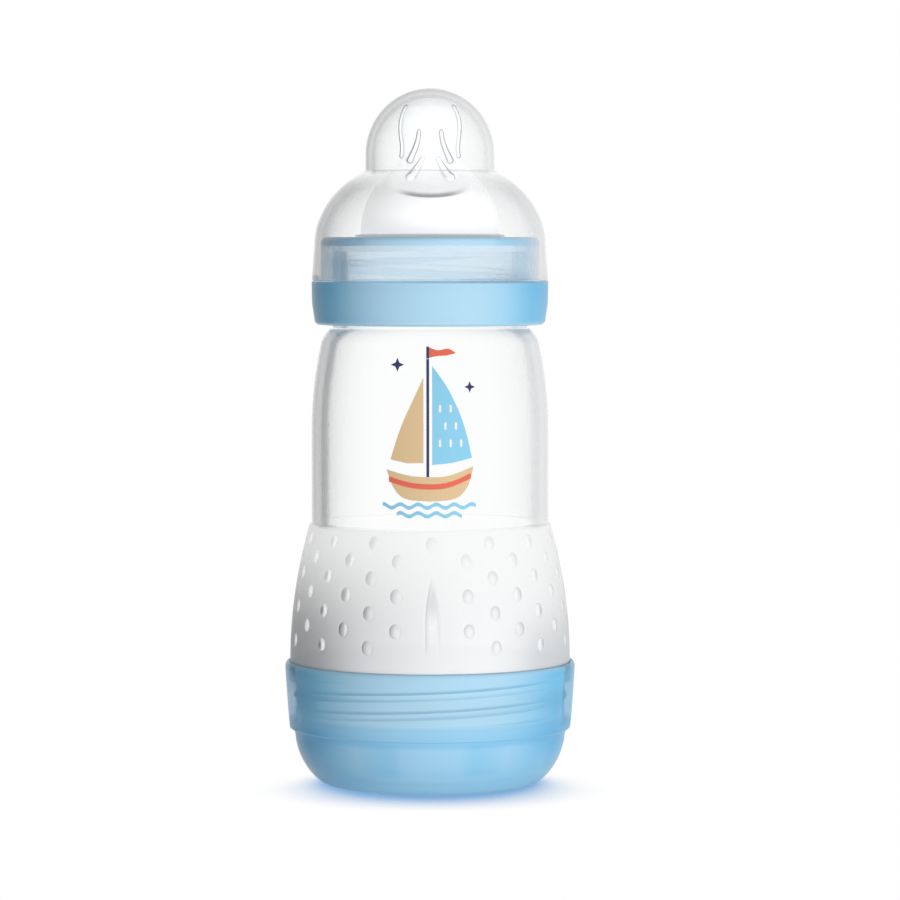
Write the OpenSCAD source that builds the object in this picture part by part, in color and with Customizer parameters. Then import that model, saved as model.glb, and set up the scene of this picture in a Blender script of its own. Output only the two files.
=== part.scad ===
// Anti-colic baby bottle: a base with vents, a silicone valve, a bottle open at both ends, a screw ring
// that holds a flat silicone teat, and a clear cap. Millimetres, +Z up, foot on z = 0, front towards -Y.

/* [Base] */
// Height of the base, from its foot to its rim
base_h = 30.6; // [29:0.1:33]
// Thickness of the collar's thin rim
rim_wall = 0.95; // [0.8:0.05:1.4]
// Depth of that rim, which hides the lower edge of the grip
rim_depth = 5; // [4:0.1:6]
// Height of the step under the collar
collar_z = 13.8; // [12.6:0.1:14.5]
// How far the collar leans in towards the step
collar_taper = 1.1; // [0.6:0.1:1.3]
// How far the collar stands out over the cup below it
collar_step = 0.9; // [0.4:0.1:1.1]
// How far the top of the cup flares out to the step
cup_flare = 0.5; // [0.2:0.05:1]
// Height over which the cup's side turns under
cup_turn_h = 12.2; // [9:0.1:12.4]
// Outer radius of the flat foot
foot_r = 25.6; // [24:0.1:27.5]
// Width of the flat foot
foot_w = 2.2; // [1.5:0.1:3]
// How far the floor is raised inside the foot
floor_rise = 1.6; // [1:0.1:2]
// Thickness of the floor
floor_t = 1.6; // [1.2:0.1:2]
// Thickness of the cup's side
cup_wall = 2; // [1.6:0.1:2.3]
// Height of the valve's ledge above the step
ledge_rise = 1.2; // [1:0.1:1.8]
// Width of the valve's ledge
ledge_w = 3; // [2.8:0.1:4]
// Number of pads inside the cup, and of vents in the floor
pad_count = 8; // [4:1:10]
// Width of a pad
pad_w = 6; // [3:0.1:8]
// How far a pad stands in from the cup's side
pad_depth = 1.6; // [1.4:0.1:3]
// Radius of a vent hole
vent_r = 1.5; // [1:0.1:2]
// Radius of the circle of vents
vent_circle_r = 13; // [10:0.5:17]

/* [Valve] */
// Height of the valve's sealing rim
seal_h = 2.6; // [2:0.1:3.4]
// Thickness of the valve's membrane
membrane_t = 1; // [0.8:0.1:1.4]
// How far the membrane domes up
membrane_rise = 2.6; // [1.5:0.1:3.5]
// Width of the lip that stands inside the bottle's lower mouth
seal_lip_w = 1.1; // [0.8:0.1:1.6]
// Height of that lip above the sealing rim
seal_lip_h = 1.2; // [0.8:0.1:2]
// Number of vent nubs on the membrane
nub_count = 6; // [3:1:8]
// Radius of the circle of vent nubs
nub_circle_r = 17; // [13:0.5:21]
// Radius of a vent nub at its foot
nub_r = 2.3; // [2:0.1:2.8]
// Height of a vent nub above the membrane
nub_h = 1.5; // [1:0.1:2]
// Length of the slit in a vent nub
slit_l = 2.2; // [1.6:0.1:2.6]

/* [Bottle] */
// Height of the bottle between its two rims
bottle_h = 115.2; // [108:0.1:122]
// Thickness of the bottle's wall
bottle_wall = 1.6; // [1.3:0.1:2]
// Outer radius of the grip where it meets the base
grip_r = 35; // [34:0.05:36]
// How far the lower mouth, without its thread, stands in from the grip
grip_step = 2.65; // [2.3:0.05:3]
// Outer radius of the grip at its top edge
grip_top_r = 30.05; // [29.9:0.05:30.6]
// Height of the grip's top edge above the lower rim
grip_top_h = 47.4; // [47:0.2:52]
// Outer radius of the clear wall
clear_r = 29.6; // [29:0.1:29.8]
// Height of the taper from the clear wall up to the shoulder
taper_h = 21.5; // [18:0.5:26]
// How far the taper draws in
taper_in = 2.35; // [1.6:0.05:2.8]
// Outer radius of the neck, without its thread
neck_r = 24.3; // [23.9:0.05:24.6]
// Height of the neck above the shoulder
neck_h = 18.9; // [17:0.1:21]
// Height over which the shoulder turns in to the neck
shoulder_turn_h = 4.2; // [3.4:0.1:6]
// Number of dimples round the grip
dimple_count = 13; // [10:1:15]
// Number of rows of dimples
dimple_rows = 7; // [5:1:7]
// Height between rows of dimples
dimple_pitch = 4.2; // [4:0.05:4.25]
// Height of the lowest row of dimples above the lower rim
dimple_low_h = 19.1; // [16:0.1:20]
// Radius of the mouth of a dimple
dimple_r = 1.6; // [1.2:0.1:1.9]
// Depth of a dimple
dimple_depth = 0.45; // [0.3:0.05:0.55]
// Width of the groove at the front of the grip
groove_w = 3.1; // [2:0.1:4]
// Height of the groove
groove_h = 18.4; // [12:0.2:20]
// Height of the groove's pointed top
groove_point_h = 5; // [3:0.2:6]
// Height of the groove's foot above the lower rim
groove_low_h = 18.1; // [17.5:0.1:22]
// Depth of the groove half-way up
groove_depth = 0.5; // [0.2:0.05:0.6]

/* [Screw ring] */
// Height of the screw ring
ring_h = 21.8; // [20:0.1:23]
// Thickness of the ring's top plate
plate_t = 2; // [1.6:0.1:2.6]
// Thickness of the crown's wall
crown_wall = 1.55; // [1.4:0.05:1.7]
// Height of the grip band
band_h = 11; // [9:0.1:12]
// How far the grip band stands out over the crown
band_step = 2.35; // [2.1:0.05:3.4]
// Thickness of the grip band's wall
band_wall = 2.1; // [1.6:0.1:2.4]
// How far the grip band leans in towards its lower edge
band_taper = 0.7; // [0.3:0.1:0.9]
// Radius of the hole for the teat
teat_hole_r = 16.6; // [16.2:0.05:17]

/* [Teat] */
// Thickness of the flange that is clamped on the bottle's rim
flange_t = 1.6; // [1.2:0.1:2]
// Radius of the thin lip on top of the ring
teat_lip_r = 18.75; // [18.4:0.05:19.4]
// Thickness of that lip
teat_lip_t = 0.5; // [0.4:0.05:0.8]
// Radius of the teat's dome at its foot
teat_r = 17.2; // [16.9:0.05:17.5]
// Height of the dome's upright foot above the ring's top plate
dome_foot_h = 1.2; // [1:0.1:2]
// Height of the dome, if it ran on to a point
dome_h = 18.4; // [17:0.1:19]
// Height of the teat above the ring's top plate
teat_h = 34.4; // [33.8:0.1:34.8]
// Half the nipple's width
nipple_a = 7.7; // [7:0.1:8.2]
// Half the nipple's depth
nipple_b = 4.8; // [4.5:0.1:5.4]
// How far the nipple narrows at its waist
waist = 0.3; // [0:0.05:0.5]
// Height of the waist above the ring's top plate
waist_h = 22.3; // [20:0.1:24]
// Height over which the nipple's top rounds off
tip_h = 5; // [4:0.1:6]
// Height of the scoop's lower lip above the ring's top plate
scoop_h = 10; // [9:0.1:11]
// Thickness of the silicone
teat_wall = 1.25; // [1.1:0.05:1.35]
// Radius of the feed hole
feed_hole_r = 0.4; // [0.3:0.05:0.6]

/* [Cap] */
// Thickness of the cap's wall
cap_wall = 1.4; // [1.2:0.05:1.5]
// How far below the top of the ring the cap's shoulder starts
shoulder_drop = 2; // [0.5:0.1:3]
// Height of the shoulder dome, if it ran on to a point
shoulder_h = 22.4; // [21.5:0.1:23.5]
// Outer radius of the small dome
small_dome_r = 16.05; // [15.6:0.05:17]
// Height of the small dome's round top
small_dome_h = 16.5; // [15.5:0.1:17.5]

/* [Fits] */
// Gap between round faces that pass each other
fit_gap = 0.3; // [0.25:0.05:0.35]
// Radial room for a screw thread
thread_room = 1.3; // [1.1:0.05:1.4]
// Gap between the teat's tip and the inside of the cap
tip_gap = 1.2; // [0.8:0.1:3]

/* [Hidden] */
$fn = 72;
FRONT = -90;           // the direction that the front faces, as a turn from +X
DEEP = 60;             // longer than any cut has to be
TEAT_SIDES = 40;       // points round one ring of the teat's skin
DIMPLE_FN = 24;        // sides of the ball that cuts a dimple
OUTER_TURN = 1.65;     // how full the cup's outer turn is: 2 is an ellipse, 1 is a straight chamfer
INNER_TURN = 1.8;      // the same on its inside
SHOULDER_TURN = 1.4;   // the same on the bottle's shoulder
SHOULDER_STEP = 15;    // turn between two points on that shoulder

blue = [0.50, 0.76, 0.92];
clear = [0.92, 0.95, 0.97];
milky = [0.97, 0.97, 0.98];

// The stack of seats, from the foot up.
ledge_z = collar_z + ledge_rise;
lower_rim_z = ledge_z + seal_h;
upper_rim_z = lower_rim_z + bottle_h;
plate_z = upper_rim_z + flange_t;
ring_top_z = plate_z + plate_t;
ring_low_z = ring_top_z - ring_h;
band_top_z = ring_low_z + band_h;
cap_top_z = ring_top_z + teat_h + tip_gap + cap_wall;

// Inside the base.
lower_mouth_r = grip_r - grip_step;
base_thread_r = lower_mouth_r + thread_room;
base_lip_r = grip_r + fit_gap;
collar_r = base_lip_r + rim_wall;
collar_low_r = collar_r - collar_taper;
cup_top_r = collar_low_r - collar_step;
cup_r = cup_top_r - cup_flare;
cup_in_r = cup_r - cup_wall;
rim_low_z = base_h - rim_depth;
ledge_in_r = base_thread_r - ledge_w;
floor_z = floor_rise + floor_t;
seal_r = base_thread_r - fit_gap;

// On the bottle.
lower_mouth_in_r = lower_mouth_r - bottle_wall;
grip_low_z = rim_low_z + 2 * fit_gap;
grip_full_z = grip_low_z + 2;
grip_curve_z = base_h + fit_gap;
grip_top_z = lower_rim_z + grip_top_h;
neck_low_z = upper_rim_z - neck_h;
shoulder_z = neck_low_z - shoulder_turn_h;
taper_z = shoulder_z - taper_h;

// On the ring, the teat and the cap.
ring_thread_r = neck_r + thread_room;
crown_r = ring_thread_r + crown_wall;
band_r = crown_r + band_step;
band_low_r = band_r - band_taper;
groove_r = teat_hole_r - fit_gap;
cap_r = crown_r + fit_gap + cap_wall;
dome_top_h = dome_foot_h + dome_h;
skirt_top_z = ring_top_z - shoulder_drop;
small_dome_z = cap_top_z - small_dome_h;

// Points on an ellipse about [x, z] in an outline's plane, from one angle to another.
function arc(x, z, a, b, from, to, steps) =
    [for (i = [0:steps]) let (t = from + (to - from) * i / steps) [x + a * cos(t), z + b * sin(t)]];

// A quarter turn between level and upright that is flatter than an ellipse: power 1 is a straight chamfer.
function soft_turn(x, z, a, b, power, from, to, steps) =
    [for (i = [0:steps]) let (t = from + (to - from) * i / steps)
        [x + a * pow(abs(cos(t)), 2 / power), z + b * sign(sin(t)) * pow(abs(sin(t)), 2 / power)]];

// A list from its end to its start.
function backwards(list) = [for (i = [len(list) - 1:-1:0]) list[i]];

// The same outline, moved towards the axis by a wall and listed backwards.
function inward(outline, wall) = backwards([for (p = outline) [p[0] - wall, p[1]]]);

// Outer radius of the grip at a height: full near the base, then drawn in along a parabola.
function grip_radius(z) =
    grip_r - (grip_r - grip_top_r) * pow(max(0, z - grip_curve_z) / (grip_top_z - grip_curve_z), 2);

// Base: a foot ring, a cup with pads and vents, the valve's ledge and a collar with room for the thread.
module base() {
    rim_a = 0.8;
    rim_b = 1.4;
    outer = concat(
        [[foot_r - foot_w, 0]],
        soft_turn(foot_r, cup_turn_h, cup_r - foot_r, cup_turn_h, OUTER_TURN, -90, 0, 9),
        [[cup_top_r, collar_z], [collar_low_r, collar_z + 0.3]],
        arc(collar_r - rim_a, base_h - rim_b, rim_a, rim_b, 0, 90, 5));
    inner = concat(
        [[base_lip_r, base_h], [base_lip_r, rim_low_z + 0.4],
         [base_thread_r, rim_low_z], [base_thread_r, ledge_z],
         [ledge_in_r, ledge_z], [ledge_in_r, ledge_z - 1]],
        soft_turn(foot_r, cup_turn_h, cup_in_r - foot_r, cup_turn_h - floor_z, INNER_TURN, 0, -90, 7),
        [[0, floor_z], [0, floor_rise], [foot_r - foot_w - 0.6, floor_rise]]);
    color(blue) difference() {
        union() {
            rotate_extrude() polygon(concat(outer, inner));
            cup_pads();
        }
        for (i = [0:pad_count - 1])
            rotate(FRONT + 360 * i / pad_count)
                translate([vent_circle_r, 0, -1]) cylinder(r = vent_r, h = floor_z + 2);
    }
}

// Flat pads that stand on the floor, run up the cup's side and end just under the ledge.
module cup_pads() {
    skin = 0.8;
    top_z = ledge_z - 0.6;
    intersection() {
        for (i = [0:pad_count - 1])
            rotate(FRONT + 360 * (i + 0.5) / pad_count)
                translate([cup_in_r - pad_depth, -pad_w / 2, floor_z - skin])
                    cube([pad_depth + cup_wall, pad_w, top_z - floor_z + skin]);
        rotate_extrude() polygon(concat(
            [[0, floor_z - skin]],
            soft_turn(foot_r, cup_turn_h, cup_r - foot_r - skin, cup_turn_h - floor_z + skin,
                      INNER_TURN, -90, 0, 7),
            [[cup_r - skin, top_z], [0, top_z]]));
    }
}

// Valve: a sealing rim clamped under the bottle, and a domed membrane with slit nubs that let air in.
module valve() {
    lip_r = lower_mouth_in_r - fit_gap;
    in_r = lip_r - seal_lip_w;
    edge_z = ledge_z + 0.8;
    lip_z = lower_rim_z + seal_lip_h;
    function dome_z(x) = edge_z + membrane_rise * (1 - pow(x / in_r, 2));
    under = [for (i = [0:6]) let (x = in_r * i / 6) [x, dome_z(x)]];
    over = [for (p = backwards(under)) [p[0], p[1] + membrane_t]];
    color(milky) difference() {
        union() {
            rotate_extrude() polygon(concat(
                under,
                [[in_r, ledge_z], [seal_r, ledge_z], [seal_r, lower_rim_z], [lip_r, lower_rim_z],
                 [lip_r - 0.3, lip_z], [in_r, lip_z]],
                over));
            for (i = [0:nub_count - 1])
                rotate(FRONT + 360 * i / nub_count)
                    translate([nub_circle_r, 0, dome_z(nub_circle_r - nub_r) + 0.1])
                        cylinder(r1 = nub_r, r2 = 0.65 * nub_r, h = membrane_t + nub_h);
        }
        for (i = [0:nub_count - 1])
            rotate(FRONT + 360 * i / nub_count)
                translate([nub_circle_r - slit_l / 2, -0.15, 0]) cube([slit_l, 0.3, DEEP]);
    }
}

// Outline of the bottle's outside, from the lower rim to the upper one.
function bottle_outline() = concat(
    [[lower_mouth_r, lower_rim_z], [lower_mouth_r, grip_low_z], [grip_r, grip_full_z]],
    [for (i = [0:12]) let (z = grip_curve_z + (grip_top_z - grip_curve_z) * i / 12) [grip_radius(z), z]],
    [[clear_r, grip_top_z + 0.4]],
    [for (i = [0:8]) [clear_r - taper_in * pow(i / 8, 2), taper_z + taper_h * i / 8]],
    soft_turn(neck_r, shoulder_z, clear_r - taper_in - neck_r, shoulder_turn_h, SHOULDER_TURN,
              SHOULDER_STEP, 90, 90 / SHOULDER_STEP - 1),
    [[neck_r, upper_rim_z]]);

// Bottle: one shell, open at both ends, with a dimpled grip, a groove at the front and a neck.
module bottle() {
    outline = bottle_outline();
    color(clear) difference() {
        rotate_extrude() polygon(concat(outline, inward(outline, bottle_wall)));
        dimples();
        groove();
    }
}

// Rows of round dimples, each row turned by half a space. The groove takes the place of three of them.
module dimples() {
    ball_r = (dimple_r * dimple_r + dimple_depth * dimple_depth) / (2 * dimple_depth);
    groove_top = groove_low_h + groove_h + 1;
    for (row = [0:dimple_rows - 1]) {
        h = dimple_low_h + dimple_pitch * row;
        half = (row % 2) / 2;
        for (i = [0:dimple_count - 1])
            if (i + half > 0 || h - dimple_r > groove_top)
                rotate(FRONT + 360 * (i + half) / dimple_count)
                    translate([grip_radius(lower_rim_z + h) + ball_r - dimple_depth, 0, lower_rim_z + h])
                        sphere(r = ball_r, $fn = DIMPLE_FN);
    }
}

// A long thumb groove with a pointed top. It is deepest half-way up and runs out at both ends.
module groove() {
    point_r = (groove_w * groove_w / 4 + groove_point_h * groove_point_h) / groove_w;
    spring_h = groove_h - groove_point_h;
    low_z = lower_rim_z + groove_low_h;
    shares = [for (i = [-1:9]) i / 8];
    intersection() {
        translate([0, 0, low_z]) rotate([90, 0, 0]) linear_extrude(DEEP) union() {
            translate([-groove_w / 2, 0]) square([groove_w, spring_h + 0.01]);
            intersection() {
                translate([point_r - groove_w / 2, spring_h]) circle(r = point_r);
                translate([groove_w / 2 - point_r, spring_h]) circle(r = point_r);
                translate([-groove_w / 2, spring_h]) square([groove_w, groove_point_h + 1]);
            }
        }
        rotate_extrude() polygon(concat(
            [for (t = shares) let (z = low_z + groove_h * t)
                [grip_radius(z) - groove_depth * 4 * t * (1 - t), z]],
            [for (t = backwards(shares)) [grip_r + 2, low_z + groove_h * t]]));
    }
}

// Screw ring: a thin crown over the neck, a plate that holds the teat down and a wider grip band.
module screw_ring() {
    corner = 1.3;
    edge = 0.3;
    bore_low_z = band_top_z - 3;      // the thread's bore ends here, inside the band
    flare_low_z = bore_low_z - 2;     // and has widened to the band's inside here
    band_in_r = band_low_r - band_wall;
    outer = concat(
        arc(band_low_r - corner, ring_low_z + corner, corner, corner, -90, 0, 4),
        [[band_r, ring_low_z + 0.7 * band_h], [band_r, band_top_z - 0.5], [band_r - 0.5, band_top_z],
         [crown_r, band_top_z]],
        arc(crown_r - corner, ring_top_z - corner, corner, corner, 0, 90, 4));
    inner = [
        [teat_hole_r + edge, ring_top_z], [teat_hole_r, ring_top_z - edge],
        [teat_hole_r, plate_z + edge], [teat_hole_r + edge, plate_z],
        [ring_thread_r, plate_z], [ring_thread_r, bore_low_z],
        [band_in_r + edge, flare_low_z], [band_in_r, ring_low_z]];
    color(blue) rotate_extrude() polygon(concat(outer, inner));
}

// Radius of the teat's dome at a height above the ring's top plate.
function dome_radius(h) = teat_r * sqrt(max(0, 1 - pow(max(0, h - dome_foot_h) / dome_h, 2)));

// The larger of two values, with a soft corner where they cross.
function soft_max(a, b, soft) = (a + b + sqrt((a - b) * (a - b) + soft * soft)) / 2;

// The smaller of two values, with a soft corner where they cross.
function soft_min(a, b, soft) = (a + b - sqrt((a - b) * (a - b) + soft * soft)) / 2;

// How much of the nipple is left at a height, as its top rounds off.
function tip(h) = sqrt(max(0, 1 - pow(max(0, h - teat_h + tip_h) / tip_h, 2)));

// Half the teat's width and half its depth between the scoops, at a height.
function half_width(h) =
    soft_max(dome_radius(h), nipple_a - waist * max(0, 1 - pow((h - waist_h) / 4.5, 2)), 1.8)
    - 0.85 * tip_h * (1 - tip(h));
function half_depth(h) =
    let (reach = dome_radius(scoop_h) - nipple_b)
    (nipple_b + reach * pow(max(0, dome_top_h - h) / (dome_top_h - scoop_h), 2.2)) * max(0.02, tip(h));

// Distance from the axis to the teat's skin at an angle and a height: a round dome, cut by the scoops.
function skin(angle, h) =
    let (a = half_width(h),
         wide = max(a, nipple_a + 2.2 * (a - nipple_a)),
         n = 2.3)
    soft_min(a, pow(pow(abs(cos(angle)) / wide, n) + pow(abs(sin(angle)) / half_depth(h), n), -1 / n), 0.8);

// One ring of points on the skin, or on its inside where a wall is given.
function skin_ring(h, wall) =
    [for (i = [0:TEAT_SIDES - 1]) let (t = 360 * i / TEAT_SIDES, r = skin(t, h) - wall)
        [r * cos(t), r * sin(t), ring_top_z + h]];

// Two triangles between each pair of neighbours on rings a and b, cut so that they follow the scoops' edges.
function band_faces(a, b) = [for (i = [0:TEAT_SIDES - 1])
    let (j = (i + 1) % TEAT_SIDES, p = a * TEAT_SIDES, q = b * TEAT_SIDES)
    each (floor(4 * i / TEAT_SIDES) % 2 == 0
        ? [[p + i, q + i, p + j], [q + i, q + j, p + j]]
        : [[p + i, q + j, p + j], [p + i, q + i, q + j]])];

// The dome and nipple: rings up the outside, over the tip, and down the inside.
module teat_skin() {
    n = TEAT_SIDES;
    lip_h = scoop_h - 0.6;
    tip_low_h = teat_h - tip_h;
    up = concat(
        [0.3],
        [for (i = [0:3]) dome_foot_h + (lip_h - dome_foot_h) * i / 4],
        [for (i = [0:13]) lip_h + (dome_top_h - lip_h) * pow(i / 14, 1.2)],
        [for (i = [0:4]) dome_top_h + (tip_low_h - dome_top_h) * i / 4],
        [for (i = [1:6]) tip_low_h + tip_h * sin(14.5 * i)]);
    down = [for (h = backwards(up)) if (h < teat_h - 2 * teat_wall) h];
    rings = concat([for (h = up) skin_ring(h, 0)], [for (h = down) skin_ring(h, teat_wall)]);
    roof_z = ring_top_z + min(teat_h - 1.2 * teat_wall, down[0] + 0.8);
    points = concat([for (r = rings) each r], [[0, 0, ring_top_z + teat_h], [0, 0, roof_z]]);
    top_i = len(points) - 2;
    roof_i = len(points) - 1;
    last_up = len(up) - 1;
    first_down = len(up);
    faces = concat(
        [for (k = [0:last_up - 1]) each band_faces(k, k + 1)],
        [for (i = [0:n - 1]) [last_up * n + i, top_i, last_up * n + (i + 1) % n]],
        [for (i = [0:n - 1]) [first_down * n + (i + 1) % n, roof_i, first_down * n + i]],
        [for (k = [first_down:len(rings) - 2]) each band_faces(k, k + 1)],
        band_faces(len(rings) - 1, 0));
    polyhedron(points, faces, convexity = 6);
}

// Teat: a flange under the ring's plate, a groove in its hole, a lip on top, and the hollow skin.
module teat() {
    bore_r = teat_r - teat_wall - 0.6;
    foot_z = ring_top_z + 2 * teat_lip_t;
    color(milky) difference() {
        union() {
            rotate_extrude() polygon([
                [bore_r, upper_rim_z], [neck_r, upper_rim_z], [neck_r, plate_z], [groove_r, plate_z],
                [groove_r, ring_top_z], [teat_lip_r, ring_top_z], [teat_lip_r, ring_top_z + teat_lip_t],
                [teat_r + 0.35, foot_z], [bore_r, foot_z]]);
            teat_skin();
        }
        translate([0, 0, ring_top_z + teat_h - 2 * tip_h]) cylinder(r = feed_hole_r, h = 3 * tip_h);
    }
}

// Outline of the cap above its skirt: the shoulder up to the crease, then the small dome.
function dome_pair(wall) =
    let (r = cap_r - wall,
         h = shoulder_h - wall,
         small_r = small_dome_r - wall,
         crease = acos((small_r + 0.4) / r))
    concat(
        arc(0, skirt_top_z, r, h, 0, crease, 12),
        [[small_r + 0.02, skirt_top_z + h * sin(crease) + 0.5]],
        arc(0, small_dome_z, small_r, small_dome_h - wall, 0, 90, 14));

// Cap: a small dome on a wide shoulder, with a skirt that slips over the crown and stands on the band.
module cap() {
    outer = concat([[band_r, band_top_z]], dome_pair(0));
    inner = concat([[band_r - cap_wall, band_top_z]], dome_pair(cap_wall));
    color(clear) rotate_extrude() polygon(concat(outer, backwards(inner)));
}

base();
valve();
bottle();
screw_ring();
teat();
cap();
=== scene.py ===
# %% [markdown]
# Baby bottle
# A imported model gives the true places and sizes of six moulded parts: a screw-on base, a valve, a bottle,
# a screw ring, a teat and a cap. This lesson gives each of them the surface that the eye expects: clear and
# frosted walls, tinted plastic that lets the threads show through, and soft milky silicone.

# %% The frame
import math

import bpy
from mathutils import Matrix, Vector


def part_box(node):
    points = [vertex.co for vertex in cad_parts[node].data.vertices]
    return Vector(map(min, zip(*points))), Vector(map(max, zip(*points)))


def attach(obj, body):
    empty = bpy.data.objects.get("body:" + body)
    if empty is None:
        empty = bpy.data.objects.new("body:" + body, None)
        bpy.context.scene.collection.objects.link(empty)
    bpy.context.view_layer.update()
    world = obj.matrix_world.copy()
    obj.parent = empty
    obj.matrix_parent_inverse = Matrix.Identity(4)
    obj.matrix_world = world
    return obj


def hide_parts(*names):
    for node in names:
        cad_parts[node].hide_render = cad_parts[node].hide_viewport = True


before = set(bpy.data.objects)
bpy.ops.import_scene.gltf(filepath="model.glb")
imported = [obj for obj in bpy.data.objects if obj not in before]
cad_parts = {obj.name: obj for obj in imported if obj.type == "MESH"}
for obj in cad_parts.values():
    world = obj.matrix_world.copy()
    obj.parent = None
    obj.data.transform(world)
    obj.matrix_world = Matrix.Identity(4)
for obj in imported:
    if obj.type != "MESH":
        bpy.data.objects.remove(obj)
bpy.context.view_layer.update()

# %% [markdown]
# The camera
# A small product is shown with a long lens from about a metre away, so that its sides stay nearly upright.
# The camera stands a little above the middle and looks slightly down, which opens the rims into thin curves.

# %% The camera
VIEW_SIDE = 0.005
VIEW_BACK = -0.98
VIEW_HEIGHT = 0.134
VIEW_AIM = 0.08325
VIEW_TURN = math.radians(-1.1)
LENS = 157
SENSOR = 36

tilt = math.atan2(VIEW_HEIGHT - VIEW_AIM, -VIEW_BACK)
bpy.ops.object.camera_add(
    location=Matrix.Rotation(VIEW_TURN, 3, "Z") @ Vector((VIEW_SIDE, VIEW_BACK, VIEW_HEIGHT)),
    rotation=(math.pi / 2 - tilt, 0, VIEW_TURN),
)
camera = bpy.context.object
camera.name = "camera"
camera.data.lens = LENS
camera.data.sensor_width = SENSOR
bpy.context.scene.camera = camera
print("the camera looks down by", round(math.degrees(tilt), 2), "degrees")

# %% [markdown]
# Measures
# Outlines are written in millimetres, as a designer would, and turned into metres where a mesh is made. The
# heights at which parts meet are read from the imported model, so the surfaces follow it when it changes.

# %% Measures
MM = 0.001


def low_of(node):
    """The height in millimetres at which a part starts."""
    return round(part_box(node)[0].z / MM, 3)


def top_of(node):
    """The height in millimetres at which a part ends."""
    return round(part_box(node)[1].z / MM, 3)


ledge_z = low_of("valve")
lower_rim_z = low_of("bottle")
upper_rim_z = top_of("bottle")
ring_low_z = low_of("screw_ring")
ring_top_z = top_of("screw_ring")
band_top_z = low_of("cap")
cap_top_z = top_of("cap")
base_top_z = top_of("base")
teat_h = top_of("teat") - ring_top_z
plate_z = ring_top_z - 2
print("rims at", lower_rim_z, "and", upper_rim_z, "mm; the ring ends at", ring_top_z, "mm")

# %% [markdown]
# Drawing and turning
# Nearly every part of a bottle is round, so it could be carved from a cylinder or built from stacked discs.
# Turning an outline about the upright axis is the plain way: a vertex is drawn along the outline, and Spin
# carries the outline round. Where an outline ends on the axis it is left open, because the merge closes it.


# %% Drawing and turning
def draw(points):
    """Draw a chain of vertices through points given in millimetres, as a new mesh at the origin."""
    bpy.ops.object.select_all(action="DESELECT")
    bpy.ops.mesh.primitive_plane_add(size=MM, location=(0, 0, 0))
    bpy.ops.object.mode_set(mode="EDIT")
    bpy.ops.mesh.merge(type="CENTER")
    spots = [Vector(p) * MM for p in points]
    bpy.ops.transform.translate(value=spots[0])
    for here, there in zip(spots, spots[1:]):
        bpy.ops.mesh.extrude_region_move(TRANSFORM_OT_translate={"value": there - here})
    bpy.ops.object.mode_set(mode="OBJECT")
    return bpy.context.object


def pick(piece):
    """Make a piece the active one, and the only one selected."""
    bpy.ops.object.select_all(action="DESELECT")
    piece.select_set(True)
    bpy.context.view_layer.objects.active = piece


def edit_all():
    """Go into edit mode with every point of the active piece selected."""
    bpy.ops.object.mode_set(mode="EDIT")
    bpy.ops.mesh.select_all(action="SELECT")


def modify(piece, kind, **settings):
    """Give a piece a modifier with its settings, and apply it."""
    pick(piece)
    bpy.ops.object.modifier_add(type=kind)
    modifier = piece.modifiers[-1]
    for name, value in settings.items():
        setattr(modifier, name, value)
    bpy.ops.object.modifier_apply(modifier=modifier.name)


def close_chain(piece):
    """Join the last vertex of a drawn chain to its first one."""
    last = len(piece.data.vertices) - 1
    for vertex in piece.data.vertices:
        vertex.select = vertex.index in (0, last)
    bpy.ops.object.mode_set(mode="EDIT")
    bpy.ops.mesh.edge_face_add()
    bpy.ops.object.mode_set(mode="OBJECT")


def finish_piece(piece, name, part, finish, inside=None, replaced=(), sharp=40):
    """Name a piece, coat it, smooth it except at sharp corners, and let it ride on the body of its part.

    The faces of a round piece that look towards the axis can have a finish of their own.
    """
    piece.name = piece.data.name = name
    piece.data.materials.clear()
    piece.data.materials.append(finish)
    if inside:
        piece.data.materials.append(inside)
        for face in piece.data.polygons:
            if face.normal.x * face.center.x + face.normal.y * face.center.y < -1e-7:
                face.material_index = 1
    pick(piece)
    bpy.ops.object.shade_smooth_by_angle(angle=math.radians(sharp))
    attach(piece, part)
    if replaced:
        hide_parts(*replaced)
    print(name, "has", len(piece.data.polygons), "faces")
    return piece


def turned(outline, columns):
    """Turn an outline of (radius, height) points about the axis. It closes unless both ends are on it."""
    piece = draw([(r, 0, z) for r, z in outline])
    if outline[0][0] > 0:
        close_chain(piece)
    edit_all()
    bpy.ops.mesh.spin(steps=columns, angle=2 * math.pi, center=(0, 0, 0), axis=(0, 0, 1))
    bpy.ops.mesh.select_all(action="SELECT")
    bpy.ops.mesh.remove_doubles(threshold=0.002 * MM)
    bpy.ops.mesh.normals_make_consistent(inside=False)
    bpy.ops.object.mode_set(mode="OBJECT")
    return piece


# %% [markdown]
# Curves in an outline
# A corner or a dome is an ellipse, worked out point by point. Moulded plastic often turns more softly than an
# ellipse, so the curve has a fullness: 2 is an ellipse and 1 is a straight chamfer.


# %% Curves in an outline
def arc(r, z, a, b, start, end, steps, fullness=2):
    """Points on an ellipse, or on a flatter or fuller curve, about (r, z) from one angle to another."""
    made = []
    for t in spread(math.radians(start), math.radians(end), steps):
        x, y = math.cos(t), math.sin(t)
        across = math.copysign(abs(x) ** (2 / fullness), x)
        up = math.copysign(abs(y) ** (2 / fullness), y)
        made.append((r + a * across, z + b * up))
    return made


def spread(low, high, steps):
    """Evenly spaced values from low to high, both included."""
    return [low + (high - low) * i / steps for i in range(steps + 1)]


# %% [markdown]
# Shader maths
# A finish that changes over a surface needs sums, such as how near a point is to a band of frost. Written as
# nodes by hand they are hard to read, so a small class wraps a socket: adding, multiplying or dividing it
# adds the Math node for that step. Any other node comes from one method, which knows the nodes' family name.


# %% Shader maths
def sum_step(operation):
    """A method that adds one Math node for an operation."""
    return lambda wire, *values: wire.maths(operation, *values)


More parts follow.
